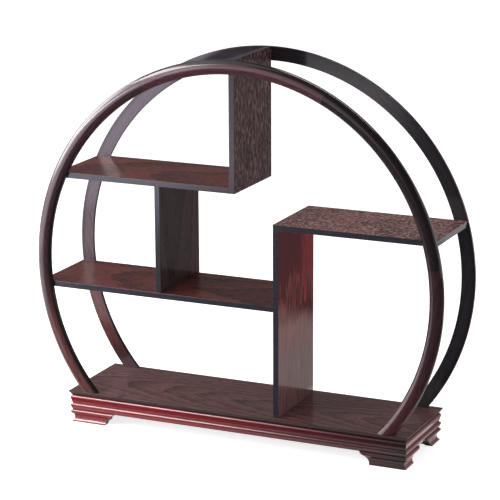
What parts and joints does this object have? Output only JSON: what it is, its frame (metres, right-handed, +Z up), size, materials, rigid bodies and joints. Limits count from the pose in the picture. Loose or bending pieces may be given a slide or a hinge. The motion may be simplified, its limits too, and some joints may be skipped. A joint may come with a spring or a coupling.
{
  "type": "teapot display shelf",
  "caption": "Round display shelf for teapots: wooden hoops on a moulded base with bracket feet carry stepped shelves and panels that form open compartments.",
  "frame": {"origin": "on the surface it stands on, under the middle of the base", "axes": "+Z up, +X to the right as seen from the pictured front, +Y to the back"},
  "size_m": [0.602, 0.141, 0.5338],
  "materials": {
    "hoop_wood": "gloss lacquer",
    "board_wood": "semi-gloss lacquer over open grain",
    "base_wood": "gloss lacquer",
    "plain_wood": "raw"
  },
  "bodies": {
    "root": {"front_hoop_right_end": "hoop_wood", "front_hoop_right": "hoop_wood", "front_hoop_top": "hoop_wood", "front_hoop_left": "hoop_wood", "front_hoop_left_end": "hoop_wood", "back_hoop_right_end": "hoop_wood", "back_hoop_right": "hoop_wood", "back_hoop_top": "hoop_wood", "back_hoop_left": "hoop_wood", "back_hoop_left_end": "hoop_wood", "shelf_upper_left": "board_wood", "shelf_middle": "board_wood", "shelf_right": "board_wood", "panel_upper": "board_wood", "divider_left": "board_wood", "panel_right": "board_wood", "base_top_board": "base_wood", "rail_front": "base_wood", "rail_back": "base_wood", "rail_left": "base_wood", "rail_right": "base_wood", "foot_front_left_face_bracket": "base_wood", "foot_front_left_side_bracket": "base_wood", "foot_front_right_face_bracket": "base_wood", "foot_front_right_side_bracket": "base_wood", "foot_back_left_face_bracket": "base_wood", "foot_back_left_side_bracket": "base_wood", "foot_back_right_face_bracket": "base_wood", "foot_back_right_side_bracket": "base_wood", "corner_block_front_left": "base_wood", "corner_block_front_right": "base_wood", "corner_block_back_left": "base_wood", "corner_block_back_right": "base_wood", "hoop_splice_tenons": "plain_wood", "hoop_dowels": "plain_wood", "shelf_dowels": "plain_wood"}
  },
  "joints": []
}
